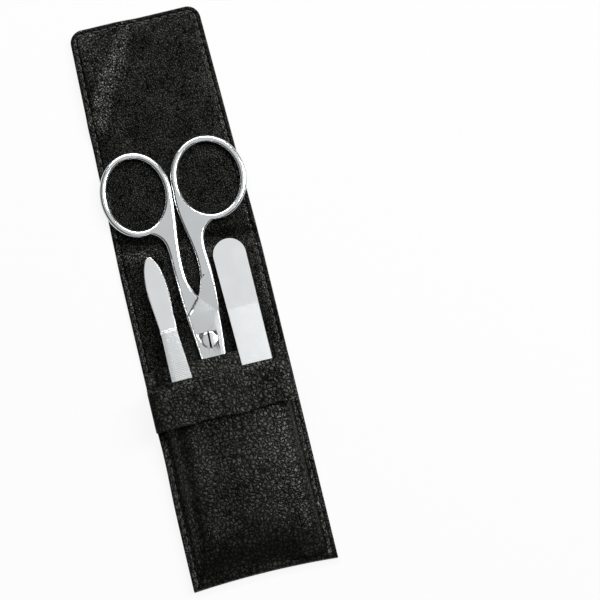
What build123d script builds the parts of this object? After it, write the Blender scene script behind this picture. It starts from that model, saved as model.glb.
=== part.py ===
"""A pocket manicure case: a leather case with a folding flap, scissors, tweezers and a nail file.

The case lies open on its back. +Z is up, +Y runs from the folded bottom to the end of the flap,
and the origin is the middle of the back panel's underside. All sizes are in millimetres.
"""

import os
from math import cos, radians, sin

from build123d import *

os.makedirs("parts", exist_ok=True)

# ---- the case
case_width = 50.0
back_length = 112.0         # folded bottom to the first fold line
leather_t = 0.9
lining_t = 0.5
divider_t = 0.5
pocket_depth = 70.5         # folded bottom to the front pocket's mouth
divider_depth = 76.2        # folded bottom to the divider's top edge
seam_margin = 2.7           # sewn edge, from the outline to the foot of the front
wall_lean = 1.4             # how far the front's walls lean in on their way up
front_crown = 0.6           # rise of the front's middle over its shoulders
divider_crown = 0.2
shoulder_r = 2.0
end_run = 6.5               # length over which the front curves down to the bottom
pocket_spare = 0.75         # free height over the tools under the front

# ---- the fold and the flap
fold_count = 4              # fold lines, each turning the same angle
flap_length = 73.8
flap_root_inset = 0.3       # the flap's side in from the case's side, at its root
flap_taper = 1.7            # how much further in its side is at its end
flap_corner_r = 4.5

# ---- the strap
strap_width = 14.0
strap_from_bottom = 54.8
strap_t = 0.9
strap_crown = 0.5
strap_corner_r = 2.0

# ---- stitching
stitch_pitch = 3.0
stitch_length = 2.1
thread_width = 0.5
thread_rise = 0.25
seam_inset = 1.8            # stitches in from the case's edge
flap_inset = 1.75           # stitches in from the flap's edge

# ---- clearances
soft_gap = 0.3              # a soft wall and what moves beside it
fold_gap = 0.1              # two strips of the fold
lap_gap = 0.1               # the two flat laps of the scissors
running_gap = 0.05          # a shaft in its hole

# ---- the scissors, laid along Y, measured from their pivot
scissor_t = 2.8
pivot_from_bottom = 82.2
blade_length = 20.7
blade_tip_x = 0.8
ring_bar = 2.4
ring_above_pivot = 54.7
left_hole_width = 20.0
right_hole_width = 21.4
hole_length = 25.2
ring_meet_x = -0.6          # where the closed rings meet, across the case
scissor_edge_r = 0.9
screw_head_d = 5.8
screw_shaft_d = 3.0
screw_head_t = 0.65
screw_slot_width = 0.7
screw_slot_depth = 0.35
# the shank of each half: its side by the other half, then its outer side, from the ring down
left_inner_side = [(-0.9, 53.5), (-2.0, 40.0), (-3.0, 28.0), (-2.4, 20.5), (-0.5, 15.9)]
left_outer_side = [(-5.8, 9.4), (-6.4, 18.0), (-6.7, 30.6), (-7.3, 35.9), (-11.6, 40.2)]
right_inner_side = [(-0.3, 53.5), (0.3, 40.0), (2.1, 26.0), (1.5, 20.8), (-0.3, 15.8)]
right_outer_side = [(5.5, 8.0), (6.2, 15.0), (6.3, 26.0), (6.8, 36.3), (11.5, 40.3)]
plate_corner = (-5.6, 9.5)  # where the upper plate's sloping end meets its left side
plate_waist = 4.4           # half width of the plates at the root of the blades
waist_below_pivot = 5.8
plate_half = 5.2            # half width of the plates beside the pivot
plate_shoulder = 3.0        # how far above the pivot that width is
step_gap = 0.2              # the step of each half and the end of the other's plate

# ---- the tweezers, measured along their own axis from the welded end
tweezer_length = 90.0
tweezer_top_from_bottom = 114.2
tweezer_side_room = 3.9     # free width between the tweezers and the pocket's left wall
tweezer_lean = 2.2          # degrees
tweezer_height = 3.2
arm_t = 0.9
weld_length = 7.0
arm_gap_at_tips = 1.4
grip_from = 27.0
grip_to = 60.0
groove_pitch = 1.0
groove_width = 0.4
groove_depth = 0.12
tweezer_grip_half = 3.5     # half width of the grip
# half widths of an arm at stations along it
arm_outline = [(2.0, 1.9), (6.0, 3.1), (10.5, 3.6), (17.0, 3.4), (28.0, 2.8), (44.0, tweezer_grip_half),
               (60.0, 3.0)]
arm_tip_half = 0.9

# ---- the nail file, measured along its own axis from its round end
file_length = 94.0          # to where its two sides would meet, before the point is rounded
file_top_from_bottom = 114.4
file_side_room = 0.25       # free width between the file and the pocket's right wall
file_lean = 0.8             # degrees
file_width = 11.3
file_mouth_width = 10.5
file_shoulder = 68.0        # round end to where the point begins
file_shoulder_width = 9.6
file_point_r = 1.2
file_t = 0.8
grit_t = 0.1
grit_from = 24.0
grit_inset = 0.3

# ---- sizes that follow: heights from the underside of the back
panel_t = leather_t + lining_t
scissor_low = panel_t + soft_gap
scissor_high = scissor_low + scissor_t
screw_high = scissor_high + running_gap + 0.1
divider_low = screw_high + soft_gap
divider_high = divider_low + divider_t
tools_low = divider_high + soft_gap
pocket_high = tools_low + tweezer_height + pocket_spare
front_high = pocket_high + panel_t
flap_low = front_high + soft_gap
strap_low = flap_low + panel_t + soft_gap
strap_high = strap_low + strap_t
seam_low = panel_t + divider_t + lining_t       # underside of the front's sewn edge
seam_high = seam_low + leather_t

# ---- sizes that follow: places along and across the case
half_width = case_width / 2
bottom_y = -back_length / 2
fold_y = bottom_y + back_length
inner_bottom_y = bottom_y + leather_t
mouth_y = bottom_y + pocket_depth
divider_y = bottom_y + divider_depth
strap_low_y = bottom_y + strap_from_bottom
front_foot = half_width - seam_margin
fold_angle = 180.0 / fold_count
fold_pitch = (flap_low - panel_t) / (1 + 2 * sin(radians(fold_angle)))
flap_y = fold_y + (fold_count - 1) * fold_pitch
flap_end_y = flap_y + flap_length
flap_root_half = half_width - flap_root_inset
flap_end_half = flap_root_half - flap_taper
strap_inner_half = flap_end_half + soft_gap


# =====================================================================
# The back of the case, and the bottom round which the skin is folded
# =====================================================================
def slab(low, high, y_from, y_to, width):
    """A flat sheet across the case."""
    with BuildPart() as sheet:
        with BuildSketch(Plane.XY.offset(low)):
            with Locations((0, (y_from + y_to) / 2)):
                Rectangle(width, y_to - y_from)
        extrude(amount=high - low)
    return sheet.part


with BuildPart() as back_leather:
    add(slab(0, leather_t, inner_bottom_y, fold_y - fold_gap / 2, case_width))
back_leather.part.label = "back_leather"
export_step(back_leather.part, "parts/back_leather.step")

with BuildPart() as back_lining:
    add(slab(leather_t, panel_t, inner_bottom_y, fold_y - fold_gap / 2, case_width))
back_lining.part.label = "back_lining"
export_step(back_lining.part, "parts/back_lining.step")

with BuildPart() as bottom_fold:
    add(slab(0, seam_low, bottom_y, inner_bottom_y, case_width))
    fillet(bottom_fold.edges().filter_by(Axis.X).group_by(Axis.Z)[0].sort_by(Axis.Y)[0], 0.8 * leather_t)
bottom_fold.part.label = "bottom_fold"
export_step(bottom_fold.part, "parts/bottom_fold.step")


# =====================================================================
# The pockets: arched sheets sewn down along both sides
# =====================================================================
def arch(foot, high, crown, corner, end_y, run, open_y):
    """The space under an arched sheet: leaning walls, crowned top, and an end that curves down."""
    shoulder = high - crown
    top = foot - wall_lean
    with BuildPart() as space:
        with BuildSketch(Plane.XZ.offset(-open_y)) as across:
            with BuildLine():
                Polyline((-top, shoulder), (-foot, panel_t), (foot, panel_t), (top, shoulder))
                ThreePointArc((top, shoulder), (0, high), (-top, shoulder))
            make_face()
            fillet(across.vertices().group_by(Axis.Y)[-1], corner)
        extrude(amount=open_y - end_y)
        with BuildSketch(Plane.YZ):
            with BuildLine():
                EllipticalCenterArc((end_y + run, panel_t), run, high - panel_t, 90, arc_size=90)
                Polyline((end_y, panel_t), (open_y, panel_t), (open_y, high), (end_y + run, high))
            make_face()
        extrude(amount=half_width, both=True, mode=Mode.INTERSECT)
    return space.part


def arched_sheet(outer, inner, low, high, y_from, y_to):
    """A sheet between two arches, with a flat margin that lies in the side seams."""
    with BuildPart() as sheet:
        add(outer)
        split(bisect_by=Plane.XY.offset(low), keep=Keep.TOP)
        add(slab(low, high, y_from, y_to, case_width))
        add(inner, mode=Mode.SUBTRACT)
    return sheet.part


lining_foot = front_foot - leather_t
pocket_foot = lining_foot - lining_t
divider_foot = pocket_foot - soft_gap
divider_end_y = inner_bottom_y + lining_t + soft_gap

front_outer = arch(front_foot, front_high, front_crown, shoulder_r, bottom_y, end_run, mouth_y)
front_middle = arch(
    lining_foot, front_high - leather_t, front_crown, shoulder_r - leather_t / 2, inner_bottom_y, end_run, mouth_y
)
front_inner = arch(
    pocket_foot, pocket_high, front_crown, shoulder_r - panel_t / 2, inner_bottom_y + lining_t, end_run, mouth_y
)
divider_outer = arch(
    divider_foot, divider_high, divider_crown, shoulder_r - panel_t / 2, divider_end_y, end_run, divider_y
)
divider_inner = arch(
    divider_foot - divider_t, divider_low, divider_crown, shoulder_r - panel_t, divider_end_y + divider_t,
    end_run, divider_y
)

with BuildPart() as divider:
    add(arched_sheet(divider_outer, divider_inner, panel_t, panel_t + divider_t, inner_bottom_y, divider_y))
divider.part.label = "divider"
export_step(divider.part, "parts/divider.step")

with BuildPart() as front_lining:
    add(arched_sheet(front_middle, front_inner, seam_low - lining_t, seam_low, inner_bottom_y, mouth_y))
front_lining.part.label = "front_lining"
export_step(front_lining.part, "parts/front_lining.step")

with BuildPart() as front_leather:
    add(arched_sheet(front_outer, front_middle, seam_low, seam_high, bottom_y, mouth_y))
front_leather.part.label = "front_leather"
export_step(front_leather.part, "parts/front_leather.step")


# =====================================================================
# The strap over the front, its ends sewn to the side seams
# =====================================================================
def strap_space(half, high, corner):
    """The space under one face of the strap."""
    with BuildPart() as space:
        with BuildSketch(Plane.XZ.offset(-strap_low_y)) as across:
            with BuildLine():
                shoulder = high - strap_crown
                Polyline((-half, shoulder), (-half, seam_high), (half, seam_high), (half, shoulder))
                ThreePointArc((half, shoulder), (0, high), (-half, shoulder))
            make_face()
            fillet(across.vertices().group_by(Axis.Y)[-1], corner)
        extrude(amount=-strap_width)
    return space.part


with BuildPart() as strap:
    add(slab(seam_high, seam_high + strap_t, strap_low_y, strap_low_y + strap_width, case_width))
    add(strap_space(strap_inner_half + strap_t, strap_high, strap_corner_r))
    add(strap_space(strap_inner_half, strap_low, strap_corner_r - strap_t), mode=Mode.SUBTRACT)
strap.part.label = "strap"
export_step(strap.part, "parts/strap.step")


# =====================================================================
# The fold: narrow strips of skin and lining, the middle one in two halves, then the flap
# =====================================================================
strip_width = half_width + flap_root_half

strip_edges = sorted([*range(fold_count), (fold_count - 1) / 2])
for number in range(1, len(strip_edges)):
    strip_from = fold_y + strip_edges[number - 1] * fold_pitch + fold_gap / 2
    strip_to = fold_y + strip_edges[number] * fold_pitch - fold_gap / 2
    with BuildPart() as fold_leather:
        add(slab(0, leather_t, strip_from, strip_to, strip_width))
    fold_leather.part.label = f"fold_leather_{number}"
    export_step(fold_leather.part, f"parts/fold_leather_{number}.step")

    with BuildPart() as fold_lining:
        add(slab(leather_t, panel_t, strip_from, strip_to, strip_width))
    fold_lining.part.label = f"fold_lining_{number}"
    export_step(fold_lining.part, f"parts/fold_lining_{number}.step")


def flap_sheet(low, high):
    """A sheet of the flap's outline: tapered sides and two round corners."""
    with BuildPart() as sheet:
        with BuildSketch(Plane.XY.offset(low)) as outline:
            with BuildLine():
                Polyline(
                    (-flap_root_half, flap_y + fold_gap / 2),
                    (flap_root_half, flap_y + fold_gap / 2),
                    (flap_end_half, flap_end_y),
                    (-flap_end_half, flap_end_y),
                    close=True,
                )
            make_face()
            fillet(outline.vertices().group_by(Axis.Y)[-1], flap_corner_r)
        extrude(amount=high - low)
    return sheet.part


with BuildPart() as flap_leather:
    add(flap_sheet(0, leather_t))
flap_leather.part.label = "flap_leather"
export_step(flap_leather.part, "parts/flap_leather.step")

with BuildPart() as flap_lining:
    add(flap_sheet(leather_t, panel_t))
flap_lining.part.label = "flap_lining"
export_step(flap_lining.part, "parts/flap_lining.step")


# =====================================================================
# Stitching: the side seams of the pockets and the edge of the flap
# =====================================================================
def stitches(low, spots):
    """Stitches lying on a surface, each at its place and heading."""
    with BuildPart() as row:
        with BuildSketch(Plane.XY.offset(low)):
            with Locations(*spots):
                SlotOverall(stitch_length, thread_width)
        extrude(amount=thread_rise)
    return row.part


def seam_spots(side):
    """Places up one side seam, with none under the strap's foot."""
    row_x = side * (half_width - seam_inset)
    strap_high_y = strap_low_y + strap_width
    spots = []
    for number in range(int(pocket_depth / stitch_pitch)):
        spot = bottom_y + (number + 1) * stitch_pitch
        start = spot - stitch_length / 2
        end = spot + stitch_length / 2
        if end < strap_low_y or (start > strap_high_y and end < mouth_y):
            spots.append(Location((row_x, spot), 90))
    return spots


with BuildPart() as seam_thread_left:
    add(stitches(seam_high, seam_spots(-1)))
seam_thread_left.part.label = "seam_thread_left"
export_step(seam_thread_left.part, "parts/seam_thread_left.step")

with BuildPart() as seam_thread_right:
    add(stitches(seam_high, seam_spots(1)))
seam_thread_right.part.label = "seam_thread_right"
export_step(seam_thread_right.part, "parts/seam_thread_right.step")

with BuildLine() as flap_stitch_line:
    row_root = flap_root_half - flap_inset
    row_end = flap_end_half - flap_inset
    row_end_y = flap_end_y - flap_inset
    FilletPolyline(
        (-row_root, flap_y + stitch_length),
        (-row_end, row_end_y),
        (row_end, row_end_y),
        (row_root, flap_y + stitch_length),
        radius=flap_corner_r - flap_inset,
    )
flap_stitch_wire = flap_stitch_line.wire()
flap_stitch_count = round(flap_stitch_wire.length / stitch_pitch)

flap_spots = []
for number in range(flap_stitch_count + 1):
    along = number / flap_stitch_count
    spot = flap_stitch_wire.position_at(along)
    flap_spots.append(Location((spot.X, spot.Y), flap_stitch_wire.tangent_angle_at(along)))

with BuildPart() as flap_thread:
    add(stitches(panel_t, flap_spots))
flap_thread.part.label = "flap_thread"
export_step(flap_thread.part, "parts/flap_thread.step")


# =====================================================================
# Scissors: two halves that lap at the pivot, and the screw that joins them
# =====================================================================
pivot_y = bottom_y + pivot_from_bottom
lap_z = (scissor_low + scissor_high) / 2
left_ring_half = left_hole_width / 2 + ring_bar
right_ring_half = right_hole_width / 2 + ring_bar
left_ring_x = ring_meet_x - lap_gap - left_ring_half
right_ring_x = ring_meet_x + lap_gap + right_ring_half
sink_low = scissor_high - screw_head_t
lower_plate = [
    (plate_half, plate_shoulder),
    (plate_waist, -waist_below_pivot),
    (blade_tip_x, -blade_length),
    (-plate_waist, -waist_below_pivot),
    (-plate_half, plate_shoulder),
]
upper_plate = [
    plate_corner,
    (-plate_half, plate_shoulder),
    (-plate_waist, -waist_below_pivot),
    (-blade_tip_x, -blade_length),
    (plate_waist, -waist_below_pivot),
    (plate_half, plate_shoulder),
]


def scissor_blank(ring_x, ring_half, inner_side, plate, outer_side):
    """One half before its lap is cut: ring, shank, plate and blade, rounded down to the blade."""
    blade_root_y = pivot_y - waist_below_pivot
    with BuildPart() as blank:
        with BuildSketch(Plane((0, pivot_y, scissor_low))):
            with Locations((ring_x, ring_above_pivot)):
                Ellipse(ring_half, hole_length / 2 + ring_bar)
            with BuildLine():
                Spline(*inner_side)
                Polyline(inner_side[-1], *plate, outer_side[0])
                Spline(*outer_side)
                Line(outer_side[-1], inner_side[0])
            make_face()
            with Locations((ring_x, ring_above_pivot)):
                Ellipse(ring_half - ring_bar, hole_length / 2, mode=Mode.SUBTRACT)
        extrude(amount=scissor_t)
        rims = blank.faces().filter_by(Axis.Z).edges()
        fillet(rims.filter_by(lambda rim: rim.center().Y > blade_root_y), scissor_edge_r)
    return blank.part


def lap_cut(low, high, left_end, right_end):
    """What one half gives up to the other, from the step between its two ends down to the tips."""
    reach = ring_above_pivot
    with BuildPart() as cut:
        with BuildSketch(Plane((0, pivot_y, low))):
            with BuildLine():
                Polyline(
                    (-reach, left_end[1]), left_end, right_end, (reach, right_end[1]),
                    (reach, -reach), (-reach, -reach), close=True,
                )
            make_face()
        extrude(amount=high - low)
    return cut.part


with BuildPart() as scissor_half_left:
    add(scissor_blank(left_ring_x, left_ring_half, left_inner_side, lower_plate, left_outer_side))
    # the lower half steps down under the sloping end of the upper plate
    step = [(x + step_gap, y + step_gap) for x, y in (left_outer_side[0], left_inner_side[-1])]
    add(lap_cut(lap_z - lap_gap / 2, scissor_high, *step), mode=Mode.SUBTRACT)
    with Locations((0, pivot_y, scissor_low)):
        Cylinder(
            screw_shaft_d / 2, scissor_t, align=(Align.CENTER, Align.CENTER, Align.MIN), mode=Mode.SUBTRACT
        )
scissor_half_left.part.label = "scissor_half_left"
export_step(scissor_half_left.part, "parts/scissor_half_left.step")

with BuildPart() as scissor_half_right:
    add(scissor_blank(right_ring_x, right_ring_half, right_inner_side, upper_plate, right_outer_side))
    # the upper half steps up over the lower plate
    step = [(x, y + step_gap) for x, y in (right_inner_side[-1], right_outer_side[0])]
    add(lap_cut(scissor_low, lap_z + lap_gap / 2, *step), mode=Mode.SUBTRACT)
    with Locations((0, pivot_y, scissor_low)):
        Cylinder(
            screw_shaft_d / 2 + running_gap, scissor_t,
            align=(Align.CENTER, Align.CENTER, Align.MIN), mode=Mode.SUBTRACT,
        )
    with Locations((0, pivot_y, sink_low)):
        Cylinder(
            screw_head_d / 2 + lap_gap, screw_head_t,
            align=(Align.CENTER, Align.CENTER, Align.MIN), mode=Mode.SUBTRACT,
        )
scissor_half_right.part.label = "scissor_half_right"
export_step(scissor_half_right.part, "parts/scissor_half_right.step")

with BuildPart() as pivot_screw:
    with BuildSketch(Plane((0, pivot_y, scissor_low))):
        Circle(screw_shaft_d / 2)
    extrude(amount=sink_low + running_gap - scissor_low)
    with BuildSketch(Plane((0, pivot_y, sink_low + running_gap))):
        Circle(screw_head_d / 2)
    extrude(amount=screw_high - sink_low - running_gap)
    chamfer(pivot_screw.faces().sort_by(Axis.Z)[-1].edges(), screw_slot_depth / 2)
    with BuildSketch(Plane((0, pivot_y, screw_high))):
        Rectangle(screw_slot_width, screw_head_d)
    extrude(amount=-screw_slot_depth, mode=Mode.SUBTRACT)
pivot_screw.part.label = "pivot_screw"
export_step(pivot_screw.part, "parts/pivot_screw.step")


# =====================================================================
# Tweezers: two sprung arms, welded together at their top end
# =====================================================================
tweezer_top_y = bottom_y + tweezer_top_from_bottom
pocket_wall = pocket_foot - wall_lean
tweezer_x = tweezer_side_room + tweezer_grip_half - pocket_wall
tweezer_top_x = tweezer_x - (tweezer_top_y - mouth_y) * sin(radians(tweezer_lean))
tweezer_mid_z = tools_low + tweezer_height / 2
tweezer_frame = Plane(
    (tweezer_top_x, tweezer_top_y, tweezer_mid_z),
    x_dir=(cos(radians(tweezer_lean)), sin(radians(tweezer_lean)), 0),
)
# the same frame, turned so that its first axis runs down the tweezers and its second one up
tweezer_side = Plane(
    tweezer_frame.origin,
    x_dir=-tweezer_frame.y_dir,
    z_dir=-tweezer_frame.x_dir,
)


def tweezer_arm(up):
    """One arm: a bowed strip, cut to the arm's outline, with a grooved grip on its outside."""
    weld_z = arm_t / 2
    grip_z = tweezer_height / 2 - arm_t / 2
    tip_z = (arm_gap_at_tips + arm_t) / 2
    widest = max(half for _, half in arm_outline)
    with BuildPart() as arm:
        with BuildSketch(tweezer_side):
            with BuildLine() as bow:
                Polyline(
                    (0, up * weld_z), (weld_length, up * weld_z), (grip_from, up * grip_z),
                    (grip_to, up * grip_z), (tweezer_length, up * tip_z),
                )
            trace(line_width=arm_t)
        extrude(amount=widest, both=True)
        with BuildSketch(tweezer_frame.offset(-tweezer_height)):
            right = [(half, -along) for along, half in arm_outline]
            left = [(-half, -along) for along, half in reversed(arm_outline)]
            with BuildLine():
                Spline((0, 0), *right)
                Polyline(
                    right[-1], (arm_tip_half, -tweezer_length), (-arm_tip_half, -tweezer_length), left[0],
                )
                Spline(*left, (0, 0))
            make_face()
        extrude(amount=2 * tweezer_height, mode=Mode.INTERSECT)
        groove_count = int((grip_to - grip_from) / groove_pitch) - 1
        with BuildSketch(tweezer_side):
            for number in range(groove_count):
                with Locations((grip_from + (number + 1) * groove_pitch, up * tweezer_height / 2)):
                    Rectangle(groove_width, 2 * groove_depth)
        extrude(amount=widest, both=True, mode=Mode.SUBTRACT)
    return arm.part


with BuildPart() as tweezer_arm_upper:
    add(tweezer_arm(1))
tweezer_arm_upper.part.label = "tweezer_arm_upper"
export_step(tweezer_arm_upper.part, "parts/tweezer_arm_upper.step")

with BuildPart() as tweezer_arm_lower:
    add(tweezer_arm(-1))
tweezer_arm_lower.part.label = "tweezer_arm_lower"
export_step(tweezer_arm_lower.part, "parts/tweezer_arm_lower.step")


# =====================================================================
# Nail file: a thin steel blade with grit on both faces
# =====================================================================
file_top_y = bottom_y + file_top_from_bottom
file_x = pocket_wall - file_side_room - file_mouth_width / 2
file_top_x = file_x - (file_top_y - mouth_y) * sin(radians(file_lean))
file_low = tools_low + grit_t
file_frame = Plane(
    (file_top_x, file_top_y, file_low),
    x_dir=(cos(radians(file_lean)), sin(radians(file_lean)), 0),
)
file_at_mouth = file_top_from_bottom - pocket_depth


def file_sheet(low, high, inset, start):
    """A sheet of the file's outline, drawn in all round, from a place along it to the point."""
    end_r = file_width / 2
    with BuildPart() as sheet:
        with BuildSketch(file_frame.offset(low)) as outline:
            with BuildLine():
                ThreePointArc((-end_r, -end_r), (0, 0), (end_r, -end_r))
                Polyline(
                    (end_r, -end_r), (file_mouth_width / 2, -file_at_mouth),
                    (file_shoulder_width / 2, -file_shoulder), (0, -file_length),
                    (-file_shoulder_width / 2, -file_shoulder), (-file_mouth_width / 2, -file_at_mouth),
                    (-end_r, -end_r),
                )
            make_face()
            fillet(outline.vertices().sort_by(Axis.Y)[0], file_point_r)
            if inset:
                offset(amount=-inset, mode=Mode.REPLACE)
            if start:
                with Locations((0, -start / 2)):
                    Rectangle(2 * file_width, start, mode=Mode.SUBTRACT)
        extrude(amount=high - low)
    return sheet.part


with BuildPart() as file_blade:
    add(file_sheet(0, file_t, 0, 0))
file_blade.part.label = "file_blade"
export_step(file_blade.part, "parts/file_blade.step")

with BuildPart() as file_grit_upper:
    add(file_sheet(file_t, file_t + grit_t, grit_inset, grit_from))
file_grit_upper.part.label = "file_grit_upper"
export_step(file_grit_upper.part, "parts/file_grit_upper.step")

with BuildPart() as file_grit_lower:
    add(file_sheet(-grit_t, 0, grit_inset, grit_from))
file_grit_lower.part.label = "file_grit_lower"
export_step(file_grit_lower.part, "parts/file_grit_lower.step")
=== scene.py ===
import math

import bmesh
import bpy
import numpy as np
from mathutils import Matrix, Vector, noise


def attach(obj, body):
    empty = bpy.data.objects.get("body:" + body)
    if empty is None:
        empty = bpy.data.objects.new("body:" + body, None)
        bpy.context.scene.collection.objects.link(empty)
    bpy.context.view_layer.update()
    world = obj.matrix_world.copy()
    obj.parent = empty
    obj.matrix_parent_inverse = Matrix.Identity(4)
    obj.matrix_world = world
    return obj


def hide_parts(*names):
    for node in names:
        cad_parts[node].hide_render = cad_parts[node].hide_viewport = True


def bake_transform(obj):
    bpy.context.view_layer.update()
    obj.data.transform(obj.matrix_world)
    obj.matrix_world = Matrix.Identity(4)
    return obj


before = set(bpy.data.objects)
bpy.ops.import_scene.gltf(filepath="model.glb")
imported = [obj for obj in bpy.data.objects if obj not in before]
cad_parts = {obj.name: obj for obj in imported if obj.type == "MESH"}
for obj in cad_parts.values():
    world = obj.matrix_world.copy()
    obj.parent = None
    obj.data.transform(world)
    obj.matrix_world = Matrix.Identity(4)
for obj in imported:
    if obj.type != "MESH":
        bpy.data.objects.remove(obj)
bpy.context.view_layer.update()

MM = 0.001

# ---------------------------------------------------------------- sizes, in millimetres
# +Y runs to the flap's end and +Z up; the origin is under the middle of the back panel
LEATHER = 0.9
LINING = 0.5
PANEL = LEATHER + LINING

CASE_HALF = 25.0
BOTTOM_Y = -56.0
TURN_RADIUS = 1.65              # of the skin, round the bottom
FRONT_FOOT_Y = BOTTOM_Y + TURN_RADIUS
MOUTH_Y = 14.5

SEAM_HIGH = 3.3                 # top of the sewn margins
SEAM_INSET = 1.8
FOOT = 22.3                     # half the width on which the filled front stands
FRONT_HIGH = 11.1
FRONT_CROWN = 0.7               # the middle's height over its shoulders
FRONT_LEAN = 1.7
BAND_SHARE = 0.62               # the share of the front's height that the smooth lower band climbs

DIVIDER_Y = 20.2
DIVIDER_THICK = 0.5
DIVIDER_FOOT = 20.6
DIVIDER_RISE = 3.55

STRAP_LOW_Y = -1.2
STRAP_WIDTH = 14.0
STRAP_HIGH = 14.0
STRAP_THICK = 0.85

FOLD_Y = 56.0
FOLD_RISE = 10.0                # from the back panel to the shut flap: one strip upright and two at 45 degrees
PITCH = FOLD_RISE / (1 + 2 * math.sin(math.radians(45)))
BAND_LOW = FOLD_Y - PITCH / 2
BAND_HIGH = FOLD_Y + 3.5 * PITCH

FLAP_ROOT_Y = FOLD_Y + 3 * PITCH
FLAP_LENGTH = 73.8
FLAP_END_Y = FLAP_ROOT_Y + FLAP_LENGTH
FLAP_ROOT_HALF = 24.7
FLAP_END_HALF = 23.0
FLAP_CORNER = 4.5
FLAP_INSET = 1.75
CURL_HIGH = 2.1                 # the far left corner
CREASE_DEEP = 0.85

STITCH_PITCH = 3.0
STITCH_LENGTH = 2.1
THREAD_RADIUS = 0.21

SCISSOR_HIGH = 4.5              # top of the scissors' plate
PIVOT_Y = 26.2
SLOT_HALF = 0.30

TOOLS_LOW = 5.75                # underside of the tweezers and the file
TWEEZER_TOP = (-13.78, 58.2)
TWEEZER_LEAN = math.radians(2.2)
TWEEZER_LENGTH = 90.0
GRIP_FROM = 25.8                # from the welded end
GRIP_TO = 61
TOOTH_PITCH = 0.62
TOOTH_DEEP = 0.055


# ---------------------------------------------------------------- materials
def material(name):
    m = bpy.data.materials.new(name)
    m.use_nodes = True
    nt = m.node_tree
    nt.nodes.clear()
    out = nt.nodes.new("ShaderNodeOutputMaterial")
    bsdf = nt.nodes.new("ShaderNodeBsdfPrincipled")
    nt.links.new(bsdf.outputs[0], out.inputs[0])
    return m, nt, bsdf


def add(nt, kind, **values):
    n = nt.nodes.new(kind)
    for k, v in values.items():
        if k in n.inputs:
            n.inputs[k].default_value = v
        else:
            setattr(n, k, v)
    return n


def feed(nt, value, socket):
    """A number is set and an output is linked."""
    if isinstance(value, (int, float)):
        socket.default_value = value
    else:
        nt.links.new(value, socket)


def texture(nt, kind, vector, **values):
    n = add(nt, kind, **values)
    nt.links.new(vector, n.inputs["Vector"])
    return n


def ramp(nt, source, stops):
    """A colour ramp. Each stop is a place with a grey level or a colour."""
    r = nt.nodes.new("ShaderNodeValToRGB")
    e = r.color_ramp.elements
    while len(e) > 1:
        e.remove(e[-1])
    for k, (place, level) in enumerate(stops):
        stop = e.new(place) if k else e[0]
        stop.position = place
        stop.color = (level, level, level, 1) if isinstance(level, float) else level
    nt.links.new(source, r.inputs[0])
    return r.outputs[0]


def maths(nt, op, *values):
    n = nt.nodes.new("ShaderNodeMath")
    n.operation = op
    for k, value in enumerate(values):
        feed(nt, value, n.inputs[k])
    return n.outputs[0]


def bumped(nt, bsdf, height, strength, distance):
    bump = add(nt, "ShaderNodeBump", Distance=distance)
    feed(nt, strength, bump.inputs["Strength"])
    nt.links.new(height, bump.inputs["Height"])
    nt.links.new(bump.outputs[0], bsdf.inputs["Normal"])


def leather(name, cell, height, shade_and_highlight_colours, rough, spec, little, wrinkle):
    """Grained leather: domed pebbles of a size in mm, smaller ones and wrinkles across them.

    Its creases are dullest; its colour is painted darker there as painted shade and lighter on the pebbles' crests
    as painted highlight. The grain is nearly flat where "pressed" is 1 on the mesh.
    """
    m, nt, bsdf = material(name)
    co = nt.nodes.new("ShaderNodeTexCoord").outputs["Object"]
    mp = texture(nt, "ShaderNodeMapping", co)
    mp.inputs["Scale"].default_value = (1 / (cell * MM),) * 3
    place = mp.outputs[0]
    warp = texture(nt, "ShaderNodeTexNoise", place, Scale=0.8, Detail=3.0)
    bent = nt.nodes.new("ShaderNodeVectorMath")
    bent.operation = "MULTIPLY_ADD"
    nt.links.new(warp.outputs["Color"], bent.inputs[0])
    bent.inputs[1].default_value = (1.3, 1.3, 1.3)
    nt.links.new(place, bent.inputs[2])
    cells = texture(nt, "ShaderNodeTexVoronoi", bent.outputs[0], feature="DISTANCE_TO_EDGE", Scale=1.0)
    small = texture(nt, "ShaderNodeTexVoronoi", bent.outputs[0], feature="DISTANCE_TO_EDGE", Scale=1.9)
    crinkle = texture(nt, "ShaderNodeTexNoise", place, Scale=1.1, Detail=1.0, Roughness=0.5)
    patch = texture(nt, "ShaderNodeTexNoise", place, Scale=0.10, Detail=2.0)
    pressed = add(nt, "ShaderNodeAttribute", attribute_name="pressed").outputs["Fac"]

    domes = ramp(nt, cells.outputs["Distance"],
                 [(0.0, 0.0), (0.1, 0.36), (0.2, 0.64), (0.3, 0.84), (0.4, 0.96), (0.5, 1.0)])
    small_domes = ramp(nt, small.outputs["Distance"], [(0.0, 0.0), (0.12, 0.42), (0.25, 0.75), (0.5, 1.0)])
    grain = maths(nt, "MULTIPLY_ADD", small_domes, little, domes)
    bumped(nt, bsdf, maths(nt, "MULTIPLY_ADD", crinkle.outputs[0], wrinkle, grain),
           maths(nt, "MULTIPLY_ADD", pressed, -0.75, 1.0), height * MM)

    level = maths(nt, "DIVIDE", grain, 1 + little)
    level = maths(nt, "MULTIPLY_ADD", maths(nt, "SUBTRACT", patch.outputs[0], 0.5), 0.35, level)
    level = maths(nt, "MULTIPLY", level, maths(nt, "MULTIPLY_ADD", pressed, -0.12, 1.0))
    # the colour follows the grain: painted shade in the creases, painted highlight on the crests
    tints = [(at, (c, c * 1.01, c * 0.93, 1)) for at, c in shade_and_highlight_colours]
    nt.links.new(ramp(nt, level, tints), bsdf.inputs["Base Color"])
    nt.links.new(ramp(nt, level, rough), bsdf.inputs["Roughness"])
    nt.links.new(ramp(nt, level, spec), bsdf.inputs["Specular IOR Level"])
    bsdf.inputs["Specular Tint"].default_value = (1.0, 1.02, 0.93, 1)
    return m


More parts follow.
